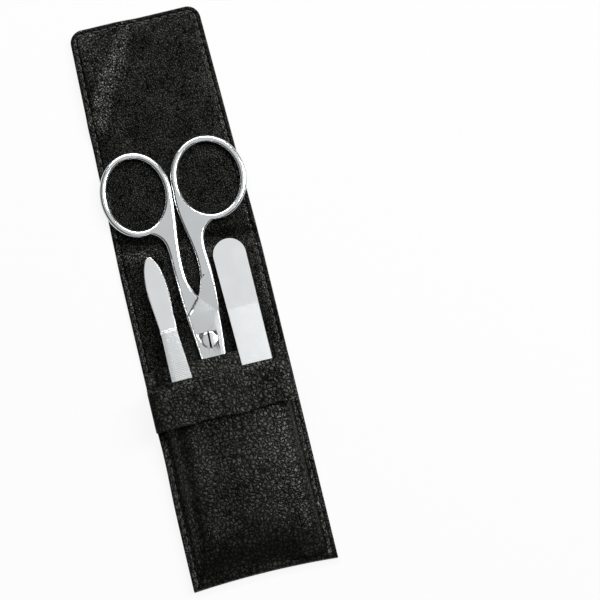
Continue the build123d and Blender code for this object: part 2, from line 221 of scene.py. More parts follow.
def steel(name, base, rough, scratch, vary, groove=None):
    """Satin or polished steel: fine marks of a depth in mm, and slow changes in its roughness.

    A band this wide about x = 0 is coloured near black: painted shadow in the slot there.
    """
    m, nt, bsdf = material(name)
    co = nt.nodes.new("ShaderNodeTexCoord").outputs["Object"]
    lines = texture(nt, "ShaderNodeTexNoise", co, Scale=6000.0, Detail=3.0).outputs[0]
    cloud = texture(nt, "ShaderNodeTexNoise", co, Scale=180.0, Detail=2.0).outputs[0]
    bumped(nt, bsdf, lines, 0.6, scratch * MM)
    r = nt.nodes.new("ShaderNodeMapRange")
    r.inputs["To Min"].default_value = rough - vary
    r.inputs["To Max"].default_value = rough + vary
    nt.links.new(maths(nt, "MULTIPLY_ADD", lines, 0.5, maths(nt, "MULTIPLY", cloud, 0.5)), r.inputs["Value"])
    nt.links.new(r.outputs[0], bsdf.inputs["Roughness"])
    c = nt.nodes.new("ShaderNodeMix")
    c.data_type = "RGBA"
    c.inputs["A"].default_value = (*[b * 0.94 for b in base], 1)
    c.inputs["B"].default_value = (*base, 1)
    nt.links.new(cloud, c.inputs["Factor"])
    colour = c.outputs["Result"]
    # painted shadow: the slot's band is coloured near black
    if groove:
        split = nt.nodes.new("ShaderNodeSeparateXYZ")
        nt.links.new(co, split.inputs[0])
        slot_shadow = nt.nodes.new("ShaderNodeMix")
        slot_shadow.data_type = "RGBA"
        slot_shadow.inputs["B"].default_value = (0.04, 0.04, 0.04, 1)
        nt.links.new(colour, slot_shadow.inputs["A"])
        slot_shadow_mask = maths(nt, "LESS_THAN", maths(nt, "ABSOLUTE", split.outputs["X"]), groove * MM / 2)
        nt.links.new(slot_shadow_mask, slot_shadow.inputs["Factor"])
        colour = slot_shadow.outputs["Result"]
    nt.links.new(colour, bsdf.inputs["Base Color"])
    bsdf.inputs["Metallic"].default_value = 1.0
    return m


def thread_material(name):
    m, nt, bsdf = material(name)
    co = nt.nodes.new("ShaderNodeTexCoord").outputs["Object"]
    wave = texture(nt, "ShaderNodeTexWave", co, bands_direction="DIAGONAL", Scale=900.0, Distortion=1.5)
    tints = [(0.0, (0.006, 0.006, 0.006, 1)), (1.0, (0.035, 0.035, 0.034, 1))]
    nt.links.new(ramp(nt, wave.outputs[0], tints), bsdf.inputs["Base Color"])
    bumped(nt, bsdf, wave.outputs[0], 0.8, 0.06 * MM)
    bsdf.inputs["Roughness"].default_value = 0.55
    bsdf.inputs["Specular IOR Level"].default_value = 0.3
    return m


# each leather's colours run from painted shade in its creases to painted highlight on its crests
OUTER = leather("outer_leather", 1.35, 0.10,
                shade_and_highlight_colours=[(0.20, 0.0006), (0.60, 0.0022), (0.95, 0.007)],
                rough=[(0.15, 0.60), (0.40, 0.36), (0.70, 0.27)],
                spec=[(0.15, 0.02), (0.50, 0.16), (0.90, 0.40)], little=0.4, wrinkle=0.9)
INNER = leather("lining_leather", 0.80, 0.026,
                shade_and_highlight_colours=[(0.20, 0.0003), (0.60, 0.0010), (0.95, 0.003)],
                rough=[(0.15, 0.50), (0.40, 0.34), (0.70, 0.27)],
                spec=[(0.22, 0.0), (0.50, 0.08), (0.90, 0.38)], little=0.5, wrinkle=0.9)
THREAD = thread_material("sewing_thread")
STEEL = steel("satin_steel", (0.66, 0.68, 0.685), 0.17, scratch=0.001, vary=0.03)
TOOL = steel("matt_steel", (0.80, 0.82, 0.825), 0.20, scratch=0.002, vary=0.03)
# its slot is coloured dark as painted shadow
SCREW = steel("polished_screw", (0.66, 0.67, 0.68), 0.20, scratch=0.012, vary=0.06, groove=0.62)
GRIT = steel("file_grit", (0.79, 0.81, 0.815), 0.24, scratch=0.012, vary=0.02)


# ---------------------------------------------------------------- mesh helpers
def mesh_piece(name, verts, faces, mat, smooth=True):
    me = bpy.data.meshes.new(name)
    me.from_pydata((np.asarray(verts, float).reshape(-1, 3) * MM).tolist(), [], faces)
    me.validate()
    me.polygons.foreach_set("use_smooth", [smooth] * len(me.polygons))
    me.materials.append(mat)
    ob = bpy.data.objects.new(name, me)
    bpy.context.collection.objects.link(ob)
    return ob


def spread(low, high, step):
    n = max(2, int(math.ceil((high - low) / step)) + 1)
    return np.linspace(low, high, n)


# places in from an edge: close together at its rounding, its groove and its stitches
EDGE = np.array([0.0, 0.03, 0.09, 0.18, 0.32, 0.6, 0.9, 1.2, 1.4, 1.55, 1.7, 1.85, 2.0, 2.2, 2.45, 2.6, 2.68, 2.74,
                 2.82, 3.0, 3.3, 3.7, 4.2, 4.8, 5.5, 6.3, 7.2])
RIM = EDGE[EDGE < 1.1]


def ease(t):
    t = np.clip(t, 0.0, 1.0)
    return t * t * (3 - 2 * t)


def wander(x, y, scale, seed, amount):
    """Slow unevenness of hand-made leather."""
    out = np.empty(x.shape)
    flat_x, flat_y, flat = x.ravel(), y.ravel(), out.ravel()
    for k in range(flat.size):
        flat[k] = noise.noise(Vector((flat_x[k] / scale, flat_y[k] / scale, seed)))
    return amount * flat.reshape(x.shape)


def sheet_normals(p):
    across = np.gradient(p, axis=1)
    along = np.gradient(p, axis=0)
    n = np.cross(across, along)
    return n / np.linalg.norm(n, axis=2, keepdims=True)


def rounding(distance, radius):
    """How far a rounded edge has dropped at a distance in from it."""
    left = np.clip(radius - distance, 0, radius)
    return radius - np.sqrt(radius ** 2 - left ** 2)


def shell_faces(a, b):
    """The faces of two grids of a by b points, outer and inner, with a rim round them."""
    i, j = np.meshgrid(np.arange(a - 1), np.arange(b - 1), indexing="ij")
    q = (i * b + j).ravel()
    outer = np.stack([q, q + 1, q + b + 1, q + b], axis=1)
    inner = np.stack([q, q + b, q + b + 1, q + 1], axis=1) + a * b
    last = (a - 1) * b
    edges = [(k, k + 1) for k in range(b - 1)] + [(last + k + 1, last + k) for k in range(b - 1)]
    edges += [((k + 1) * b, k * b) for k in range(a - 1)]
    edges += [(k * b + b - 1, (k + 1) * b + b - 1) for k in range(a - 1)]
    return outer.tolist() + inner.tolist() + [(k, k + a * b, m + a * b, m) for k, m in edges]


def thick_sheet(name, p, thickness, mat, free=(True, True, True, True), radius=0.3, floor=None):
    """A sheet whose outer face is the grid p. Its free edges (first row, last row, left, right) are rounded."""
    n = sheet_normals(p)
    steps_along = np.linalg.norm(np.diff(p[:, p.shape[1] // 2], axis=0), axis=1)
    steps_across = np.linalg.norm(np.diff(p, axis=1), axis=2)
    rows = np.concatenate([[0], np.cumsum(steps_along)])
    cols = np.concatenate([np.zeros((p.shape[0], 1)), np.cumsum(steps_across, axis=1)], axis=1)
    from_edges = (rows[:, None], (rows[-1] - rows)[:, None], cols, cols[:, -1:] - cols)
    d = np.full(p.shape[:2], radius)
    for is_free, distance in zip(free, from_edges):
        if is_free:
            d = np.minimum(d, distance)
    drop = rounding(d, radius)
    outer = p - n * drop[..., None]
    inner = p - n * (thickness - drop)[..., None]
    if floor is not None:
        inner[..., 2] = np.maximum(inner[..., 2], floor)
        outer[..., 2] = np.maximum(outer[..., 2], floor + 0.02)
    verts = np.concatenate([outer.reshape(-1, 3), inner.reshape(-1, 3)])
    piece = mesh_piece(name, verts, shell_faces(*p.shape[:2]), mat)
    piece.data.set_sharp_from_angle(angle=math.radians(60))
    return piece


def slab(name, top, low, mat):
    """A solid piece: its top face is the grid, its underside is at the heights given for each row."""
    under = top.copy()
    under[..., 2] = np.minimum(np.asarray(low, float).reshape(-1, 1), top[..., 2] - 0.02)
    verts = np.concatenate([top.reshape(-1, 3), under.reshape(-1, 3)])
    piece = mesh_piece(name, verts, shell_faces(*top.shape[:2]), mat)
    piece.data.set_sharp_from_angle(angle=math.radians(32))
    return piece


def columns(half, middle=0.8):
    """Places across a sheet, close together near its two edges."""
    edge = EDGE[EDGE < half * 0.6]
    inner = half - edge[-1]
    mid = np.linspace(-inner, inner, max(3, int(2 * inner / middle)))[1:-1]
    return np.concatenate([-half + edge, mid, (half - edge)[::-1]])


def stitches(name, spots):
    """Thread stitches: short cords that rise from one hole and dip into the next."""
    verts, faces = [], []
    sides, steps = 8, 8
    for x, y, z, heading in spots:
        c, s = math.cos(heading), math.sin(heading)
        base = len(verts)
        for k in range(steps + 1):
            t = k / steps
            end = 2 * t - 1
            along = (t - 0.5) * (STITCH_LENGTH + 0.35)
            rise = 0.10 - 0.42 * end ** 4
            r = THREAD_RADIUS * (1 - 0.25 * end ** 2)
            for q in range(sides):
                a = 2 * math.pi * q / sides
                across = 1.15 * r * math.cos(a)
                verts.append((x + along * c - across * s, y + along * s + across * c,
                              z + rise + 0.8 * r * math.sin(a)))
        for k in range(steps):
            for q in range(sides):
                v = base + k * sides
                faces.append((v + q, v + (q + 1) % sides, v + sides + (q + 1) % sides, v + sides + q))
        faces.append(tuple(base + q for q in range(sides))[::-1])
        faces.append(tuple(base + steps * sides + q for q in range(sides)))
    return mesh_piece(name, verts, faces, THREAD)


# ---------------------------------------------------------------- the pouch's skin
def bowed(p):
    """The pouch's outline: its bottom edge bows in, and its left side is a little hollow."""
    x, y = p[..., 0].copy(), p[..., 1].copy()
    low = ease((BOTTOM_Y + 26 - y) / 26)
    p[..., 1] = y + 1.0 * (1 - (x / CASE_HALF) ** 2) * low
    p[..., 0] = x + 0.5 * np.exp(-((y + 9) / 13) ** 2) * ease(-x / CASE_HALF)
    return p


def seam_groove(d, inset, depth=0.16, width=0.38):
    return depth * np.exp(-((d - inset) / width) ** 2)


def dimples(d, run, inset, depth=0.10):
    """Small dips where the stitches pull the leather down."""
    phase = (run / STITCH_PITCH + 0.5) % 1.0 - 0.5
    return depth * np.exp(-((d - inset) / 0.6) ** 2) * (1 - np.exp(-(phase / 0.22) ** 2))


def band_run(x):
    """How far the smooth lower band reaches up the front: a lens, fuller to the left."""
    middle, left, right, tallest, least = -7.0, 18.0, 24.0, 11.5, 5.0
    t = (x - middle) / np.where(x < middle, left, right)
    return np.maximum(tallest * np.sqrt(np.clip(1 - t ** 2, 0, 1)), least)


def front_height(x, y):
    """The front's outer face: sewn flat at its margins, filled by the tools, folding down to the bottom."""
    u = FOOT - np.abs(x)
    side = 1 - (1 - np.clip(u / 14.0, 0, 1)) ** 6
    v = np.clip(y - FRONT_FOOT_Y, 0, None)
    run = band_run(x)
    climb = BAND_SHARE * (0.4 * ease(0.93 * v / run + 0.03) + 0.6 * np.clip(v / run, 0, 1))
    beyond = BAND_SHARE + (1 - BAND_SHARE) * (1 - np.exp(-np.clip(v - run, 0, None) / 6.0))
    end = np.where(v < run, climb, beyond)
    crown = FRONT_HIGH - SEAM_HIGH - FRONT_CROWN + FRONT_CROWN * (1 - (x / 21.0) ** 2)
    d = CASE_HALF - np.abs(x)
    margin = np.where(u < 0.4, seam_groove(d, SEAM_INSET) + dimples(d, y, SEAM_INSET), 0.0)
    return SEAM_HIGH + crown * side * end - margin


def lean(p):
    """The filled front leans a little to the right of its seams."""
    q = p.copy()
    q[..., 0] += FRONT_LEAN * np.clip((p[..., 2] - SEAM_HIGH) / (FRONT_HIGH - SEAM_HIGH), 0, 1)
    return q


def skin_grid():
    """The skin in one cut: down the back, round the bottom and up the front to the mouth."""
    x = columns(CASE_HALF, 0.6)
    back = [(-v, 0.0) for v in spread(-BAND_LOW, -FRONT_FOOT_Y, 2.0)]
    turn = [(FRONT_FOOT_Y - TURN_RADIUS * math.sin(a), TURN_RADIUS - TURN_RADIUS * math.cos(a))
            for a in np.linspace(0, math.pi, 13)[1:-1]]
    rows = [np.stack([x, np.full_like(x, y), np.full_like(x, z)], axis=1) for y, z in back + turn]
    for y in np.concatenate([spread(FRONT_FOOT_Y, MOUTH_Y - 1.0, 0.6)[:-1], MOUTH_Y - RIM[::-1]]):
        yy = np.full_like(x, y)
        rows.append(np.stack([x, yy, front_height(x, yy)], axis=1))
    p = np.array(rows)
    first = len(back) + len(turn)
    front = p[first:]
    X, Y = front[..., 0], front[..., 1]
    filled = ease((FOOT - 1 - np.abs(X)) / 5)
    slow = wander(X, Y, 15.0, 3.1, 0.42) + wander(X, Y, 7.0, 6.2, 0.12)
    front[..., 2] += slow * filled * ease((Y + 54) / 8)
    # it hollows a little beside its left seam
    front[..., 2] -= 0.55 * np.exp(-((X + 11.5) / 5.5) ** 2) * filled * ease((Y + 46) / 14)
    p[first:] = lean(front)
    return bowed(p), first


skin, first_front = skin_grid()
case_skin = thick_sheet("case_skin", skin, LEATHER, OUTER, free=(False, True, True, True))
pressed = case_skin.data.attributes.new("pressed", "FLOAT", "POINT")
grid_x, grid_y = skin[..., 0].ravel(), skin[..., 1].ravel()
above_band = grid_y - FRONT_FOOT_Y - band_run(grid_x - FRONT_LEAN * 0.7)
on_front = np.arange(grid_y.size) // skin.shape[1] >= first_front
smooth_band = ease((1.2 - above_band) / 3.0) * on_front
pressed.data.foreach_set("value", np.concatenate([smooth_band, smooth_band]).astype(np.float32))
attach(case_skin, "pouch")
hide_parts("back_leather", "bottom_fold", "front_leather")

front = skin[first_front:]
front_inner = front - sheet_normals(front) * LEATHER
front_lining = thick_sheet("front_lining_sheet", front_inner, LINING - 0.03, INNER, radius=0.2)
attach(front_lining, "pouch")
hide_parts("front_lining")


# ---------------------------------------------------------------- the open panel's outline and its unevenness
def strip_half(y):
    """Half the width of the band and the flap at a place along it."""
    t = np.clip((y - FLAP_ROOT_Y) / FLAP_LENGTH, 0, 1)
    root = CASE_HALF + (FLAP_ROOT_HALF - CASE_HALF) * np.clip((y - BAND_LOW) / (BAND_HIGH - BAND_LOW), 0, 1)
    return root + (FLAP_END_HALF - FLAP_ROOT_HALF) * t


def flap_waves(X, Y):
    """The open flap isn't flat: its far left corner curls up, and it dips along the crease where it folds."""
    inward = X + 19.5 - 0.55 * (Y - 112.0)
    curl = CURL_HIGH * (1 - ease((inward + 4.5) / 10.0)) * ease((Y - 97.0) / 12.0)
    curl = curl * (1 - 0.35 * ease((Y - 124.0) / 12.0))
    side = ease((strip_half(Y) - np.abs(X)) / 4.0)
    slow = (wander(X, Y, 13.0, 9.3, 0.42) + 0.12) * side * ease((Y - 97.5) / 10) * ease((FLAP_END_Y - Y) / 8)
    under_tools = wander(X, Y, 9.0, 4.4, 0.16) * side * ease((Y - BAND_HIGH) / 4) * ease((104.0 - Y) / 10)
    crease = Y - (61.2 - 0.15 * X)
    width = np.where(crease > 0, 3.0, 4.0)
    dip = -CREASE_DEEP * np.exp(-(crease / width) ** 2) * (1 + wander(X, Y, 8.0, 6.6, 0.35))
    return curl + slow + np.minimum(under_tools, 0.12) + dip


# ---------------------------------------------------------------- lining of the back, and the divider
def back_lining_grid():
    x = columns(CASE_HALF - 0.02)
    X, Y = np.meshgrid(x, np.concatenate([spread(BOTTOM_Y + 1.4, 8.0, 4.0)[:-1], spread(8.0, BAND_LOW, 0.6)]))
    d = CASE_HALF - np.abs(X)
    z = PANEL - seam_groove(d, SEAM_INSET) - dimples(d, Y, SEAM_INSET)
    z += np.minimum(wander(X, Y, 11.0, 7.7, 0.30), 0.15) * ease(d / 4) * ease((BAND_LOW - Y) / 6)
    z += flap_waves(X, Y) * ease((Y - 46.0) / 4.0)
    return bowed(np.stack([X, Y, z], axis=2))


back_lining = thick_sheet("back_lining_sheet", back_lining_grid(), LINING, INNER, free=(True, False, True, True),
                          radius=0.2)
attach(back_lining, "pouch")
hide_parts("back_lining")


def divider_grid():
    x = columns(CASE_HALF - 0.3)
    ys = np.concatenate([spread(BOTTOM_Y + 3.0, 6.0, 2.0)[:-1], spread(6.0, DIVIDER_Y - 1.0, 0.6)[:-1],
                         DIVIDER_Y - RIM[::-1]])
    X, Y = np.meshgrid(x, ys)
    u = DIVIDER_FOOT - np.abs(X)
    side = np.sqrt(1 - (1 - np.clip(u / 3.5, 0, 1)) ** 2)
    end = np.sqrt(1 - (1 - np.clip((Y - ys[0]) / 6.5, 0, 1)) ** 2)
    slow = wander(X, Y, 12.0, 1.4, 0.10) * ease(u / 4) * ease((Y - 12) / 8)
    return bowed(np.stack([X, Y, PANEL + DIVIDER_THICK + DIVIDER_RISE * side * end + slow], axis=2))


divider = thick_sheet("divider_sheet", divider_grid(), DIVIDER_THICK, OUTER, radius=0.2)
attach(divider, "pouch")
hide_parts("divider")


# ---------------------------------------------------------------- the strap
def strap_grid():
    """The strap's outer face: up out of one seam, over the front and down to the other.

    It is high enough for the shut flap to pass under it.
    """
    side, shoulder, high = 24.55, 12.35, STRAP_HIGH + 0.02
    left_bend, right_bend = 5.0, 3.2
    around = np.linspace(0, math.pi / 2, 14)
    walls = np.linspace(SEAM_HIGH + LEATHER, shoulder, 12)[:-1]
    left = -side + left_bend * (1 - np.cos(around))
    right = side - right_bend + right_bend * np.sin(around)
    mid = np.linspace(left[-1], right[0], 52)[1:-1]
    x = np.concatenate([np.full(walls.size, -side), left, mid, right, np.full(walls.size, side)])
    z = np.concatenate([walls, shoulder + (high - shoulder) * np.sin(around), np.full(mid.size, high),
                        shoulder + (high - shoulder) * np.cos(around), walls[::-1]])
    w = np.concatenate([RIM, np.linspace(1.2, STRAP_WIDTH - 1.2, 20), STRAP_WIDTH - RIM[::-1]])
    X, W = np.meshgrid(x, w)
    Z = np.repeat(z[None, :], w.size, axis=0)
    t = (W / STRAP_WIDTH) * 2 - 1
    up = ease((Z - SEAM_HIGH - 3) / 7)
    swell = wander(X, W * 1.3, 7.0, 5.2, 0.16) + 0.10 * np.exp(-((X - 6.0) / 5.0) ** 2)
    Z = np.minimum(Z - 0.14 * t ** 4 * up + swell * up, STRAP_HIGH + 0.25)
    X = X + 0.35 * wander(W, Z, 5.0, 3.3, 1.0) * (1 - up)
    # its ends draw in where the seams hold them, and its lower edge wanders a little
    pinch = 1 - 0.10 * ease((SEAM_HIGH + 6.5 - Z) / 5.0)
    Y = STRAP_LOW_Y + STRAP_WIDTH / 2 + (W - STRAP_WIDTH / 2) * pinch + wander(X, 0 * W, 11.0, 8.8, 0.5) * up
    return np.stack([X, Y, Z], axis=2)


strap = thick_sheet("strap_band", strap_grid(), STRAP_THICK, OUTER)
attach(strap, "pouch")
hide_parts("strap")


# ---------------------------------------------------------------- the fold and the flap
def outline_distance(X, Y):
    """How far a place on the flap is in from its outline."""
    half = strip_half(Y)
    side = half - np.abs(X)
    end = FLAP_END_Y - Y
    r = FLAP_CORNER
    corner = (side < r) & (end < r)
    round_d = r - np.sqrt(np.clip(r - side, 0, None) ** 2 + np.clip(r - end, 0, None) ** 2)
    return np.where(corner, round_d, np.minimum(side, end))


def flap_grid(low_y, high_y, high_z, step, ends):
    """A stretch of the open panel's upper face. It takes in the flap's rounded end where ends is set."""
    base = columns(FLAP_ROOT_HALF)
    margin = EDGE[-1]
    near_edge = np.abs(base) > FLAP_ROOT_HALF - margin - 1e-6
    ys = spread(low_y, high_y, step)
    if ends:
        ys = np.concatenate([spread(low_y, high_y - margin, step)[:-1], high_y - EDGE[::-1]])
    rows = []
    for y in ys:
        half = strip_half(y)
        to_end = FLAP_END_Y - y
        if ends and to_end < FLAP_CORNER:
            half += math.sqrt(max(FLAP_CORNER ** 2 - (FLAP_CORNER - to_end) ** 2, 0)) - FLAP_CORNER
        x = base * (half - margin) / (FLAP_ROOT_HALF - margin)
        x[near_edge] = np.sign(base[near_edge]) * (half - FLAP_ROOT_HALF + np.abs(base[near_edge]))
        rows.append(np.stack([x, np.full_like(x, y)], axis=1))
    g = np.array(rows)
    X, Y = g[..., 0], g[..., 1]
    is_lining = high_z > LEATHER
    z = high_z + np.maximum(flap_waves(X, Y), -0.80 if is_lining else -0.45)
    if is_lining:
        d = outline_distance(X, Y)
        z -= seam_groove(d, FLAP_INSET, 0.14, 0.50) + dimples(d, Y + X, FLAP_INSET, 0.14) + 0.10 * np.exp(-d / 0.8)
    return np.stack([X, Y, z], axis=2)


def flap_pieces():
    chain = [("pouch", "fold_strip_1"), ("fold_strip_1", "fold_strip_2"),
             ("fold_strip_3", "fold_strip_4"), ("fold_strip_4", "flap")]
    for kind, high, t, mat, slot, nodes in (
        ("leather", LEATHER, LEATHER, OUTER, "outer_leather", "fold_leather_%d"),
        ("lining", PANEL, LINING, INNER, "lining", "fold_lining_%d"),
    ):
        radius = min(0.3, t / 2 - 0.02)
        for k, (a, b) in enumerate(chain):
            low = BAND_LOW + k * PITCH
            piece = thick_sheet(f"band_{kind}_{k + 1}", flap_grid(low, low + PITCH, high, 0.35, False), t, mat,
                                free=(False, False, True, True), radius=radius, floor=0.0)
            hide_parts(nodes % (k + 1))
            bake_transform(piece)
        flap = thick_sheet(f"flap_{kind}_sheet", flap_grid(BAND_HIGH, FLAP_END_Y, high, 0.7, True), t, mat,
                           free=(False, True, True, True), radius=radius, floor=0.0)
        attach(flap, "flap")
        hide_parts(f"flap_{kind}")


flap_pieces()


# ---------------------------------------------------------------- thread
def seam_spots(side):
    """Up one seam of the pouch, except under the strap."""
    spots = []
    for k in range(1, 24):
        y = BOTTOM_Y + k * STITCH_PITCH
        if STRAP_LOW_Y - 1.2 < y < STRAP_LOW_Y + STRAP_WIDTH + 1.2 or y > MOUTH_Y - 0.8:
            continue
        p = bowed(np.array([side * (CASE_HALF - SEAM_INSET), y, SEAM_HIGH - 0.22]))
        spots.append((*p, math.pi / 2))
    return spots


def flap_spots():
    """Round the flap's outline at one inset, up one side, over the end and down the other."""
    r = FLAP_CORNER - FLAP_INSET
    end = FLAP_END_Y - FLAP_INSET
    root = np.array([FLAP_ROOT_HALF - FLAP_INSET - 0.04, BAND_HIGH + 1.0])
    top = np.array([strip_half(FLAP_END_Y) - FLAP_INSET, end - r])
    lines = [root + (top - root) * t for t in np.linspace(0, 1, 120)]
    lines += [(top[0] - r + r * math.cos(a), top[1] + r * math.sin(a)) for a in np.linspace(0, math.pi / 2, 20)[1:]]
    lines += [(x, end) for x in np.linspace(lines[-1][0], 0, 60)[1:]]
    right = np.array(lines)
    path = np.concatenate([right, right[::-1][1:] * (-1, 1)])
    s = np.concatenate([[0], np.cumsum(np.linalg.norm(np.diff(path, axis=0), axis=1))])

    def on_path(at):
        return np.interp(at, s, path[:, 0]), np.interp(at, s, path[:, 1])

    count = int(round(s[-1] / STITCH_PITCH))
    spots = []
    for k in range(count + 1):
        at = s[-1] * k / count
        x, y = on_path(at)
        (x1, y1), (x2, y2) = on_path(at - 0.2), on_path(at + 0.2)
        wave = float(flap_waves(np.array([[x]]), np.array([[y]]))[0, 0])
        spots.append((x, y, PANEL + max(wave, -0.6) - 0.17, math.atan2(y2 - y1, x2 - x1)))
    return spots


for label, side in (("left", -1), ("right", 1)):
    row = stitches(f"seam_stitches_{label}", seam_spots(side))
    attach(row, "pouch")
    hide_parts(f"seam_thread_{label}")
    row = stitches(f"back_stitches_{label}", [(side * (CASE_HALF - SEAM_INSET), y, PANEL - 0.2, math.pi / 2)
                                              for y in np.arange(MOUTH_Y + 1.5, BAND_LOW - 1, STITCH_PITCH)])
    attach(row, "pouch")

flap_row = stitches("flap_stitches", flap_spots())
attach(flap_row, "flap")
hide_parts("flap_thread")


# ---------------------------------------------------------------- tools
def finish_node(node, mat):
    for s in bpy.data.objects[node].material_slots:
        s.material = mat


def prism(section, start, end):
    """A cutter: a closed outline (offset outwards, height) run along the line from start to end."""
    start, end = np.array(start, float), np.array(end, float)
    run = (end - start) / np.linalg.norm(end - start)
    out = np.array([run[1], -run[0]])
    n = len(section)
    verts = [(*(p + out * o), z) for p in (start, end) for o, z in section]
    faces = [tuple(range(n))[::-1], tuple(range(n, 2 * n))]
    faces += [(k, (k + 1) % n, n + (k + 1) % n, n + k) for k in range(n)]
    cutter = mesh_piece("cutter", verts, faces, STEEL, smooth=False)
    bm = bmesh.new()
    bm.from_mesh(cutter.data)
    bmesh.ops.recalc_face_normals(bm, faces=bm.faces)
    bm.to_mesh(cutter.data)
    bm.free()
    return cutter


def carved(name, source, cutters, mat, sharp=32):
    """A refined copy of a rigid shape, with the cutters taken away from it."""
    bm = bmesh.new()
    bm.from_mesh(source)
    bmesh.ops.remove_doubles(bm, verts=bm.verts, dist=2e-7)
    me = bpy.data.meshes.new(name)
    bm.to_mesh(me)
    bm.free()
    me.materials.clear()
    me.materials.append(mat)
    ob = bpy.data.objects.new(name, me)
    bpy.context.collection.objects.link(ob)
    for cutter in cutters:
        cut = ob.modifiers.new("cut", "BOOLEAN")
        cut.operation, cut.solver, cut.object = "DIFFERENCE", "EXACT", cutter
    done = bpy.data.meshes.new_from_object(ob.evaluated_get(bpy.context.evaluated_depsgraph_get()))
    ob.modifiers.clear()
    ob.data = done
    done.name = name
    for cutter in cutters:
        bpy.data.objects.remove(cutter)
    done.polygons.foreach_set("use_smooth", [True] * len(done.polygons))
    done.set_sharp_from_angle(angle=math.radians(sharp))
    even = ob.modifiers.new("even", "WEIGHTED_NORMAL")
    even.keep_sharp, even.weight = True, 100
    ob.data = bpy.data.meshes.new_from_object(ob.evaluated_get(bpy.context.evaluated_depsgraph_get()))
    ob.modifiers.clear()
    ob.data.name = name
    return ob


right_half = carved("scissor_right_ground", bpy.data.objects["scissor_half_right"].data, [
    # the broad bevel down the plate's outer side
    prism([(-1.9, SCISSOR_HIGH + 0.01), (0.1, SCISSOR_HIGH - 0.13), (0.35, SCISSOR_HIGH - 0.45),
           (1.5, 2.2), (1.5, 6.0), (-1.9, 6.0)], (4.15, 15.5), (5.42, 34.6)),
    # the shank runs out on to the plate in a shallow ramp, which leaves a step across it
    prism([(0.0, SCISSOR_HIGH - 0.30), (-9.5, SCISSOR_HIGH + 0.01), (-9.5, 6.0), (0.0, 6.0)],
          (-2.2, 43.4), (7.2, 32.6)),
], STEEL, 25)
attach(right_half, "scissors_right")
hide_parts("scissor_half_right")


def screw_head():
    """The pivot screw: a domed, polished head with a driving slot, on its shaft."""
    profile = [(0.0, 1.7), (1.5, 1.7), (1.5, 3.95), (2.9, 3.95), (2.9, 4.40), (2.86, 4.50), (2.72, 4.58),
               (2.45, 4.65), (2.1, 4.70), (1.6, 4.745), (1.1, 4.775), (0.55, 4.79), (0.0, 4.795)]
    turns = 72
    angles = [2 * math.pi * k / turns for k in range(turns)]
    verts, faces = [(0, PIVOT_Y, profile[0][1])], []
    for r, z in profile[1:-1]:
        verts += [(r * math.cos(a), PIVOT_Y + r * math.sin(a), z) for a in angles]
    verts.append((0, PIVOT_Y, profile[-1][1]))
    last = len(verts) - 1
    for k in range(turns):
        m = (k + 1) % turns
        faces.append((0, 1 + m, 1 + k))
        for row in range(len(profile) - 3):
            a, b = 1 + row * turns, 1 + (row + 1) * turns
            faces.append((a + k, a + m, b + m, b + k))
        a = 1 + (len(profile) - 3) * turns
        faces.append((a + k, a + m, last))
    blank = mesh_piece("screw_blank", verts, faces, SCREW)
    slot = prism([(0.0, 4.05), (SLOT_HALF, 4.76), (SLOT_HALF, 6.0), (-SLOT_HALF, 6.0), (-SLOT_HALF, 4.76)],
                 (-0.3, PIVOT_Y - 4), (0.3, PIVOT_Y + 4))
    head = carved("pivot_screw_domed", blank.data, [slot], SCREW, 28)
    bpy.data.objects.remove(blank)
    return head


screw = screw_head()
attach(screw, "scissors_left")
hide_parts("pivot_screw")


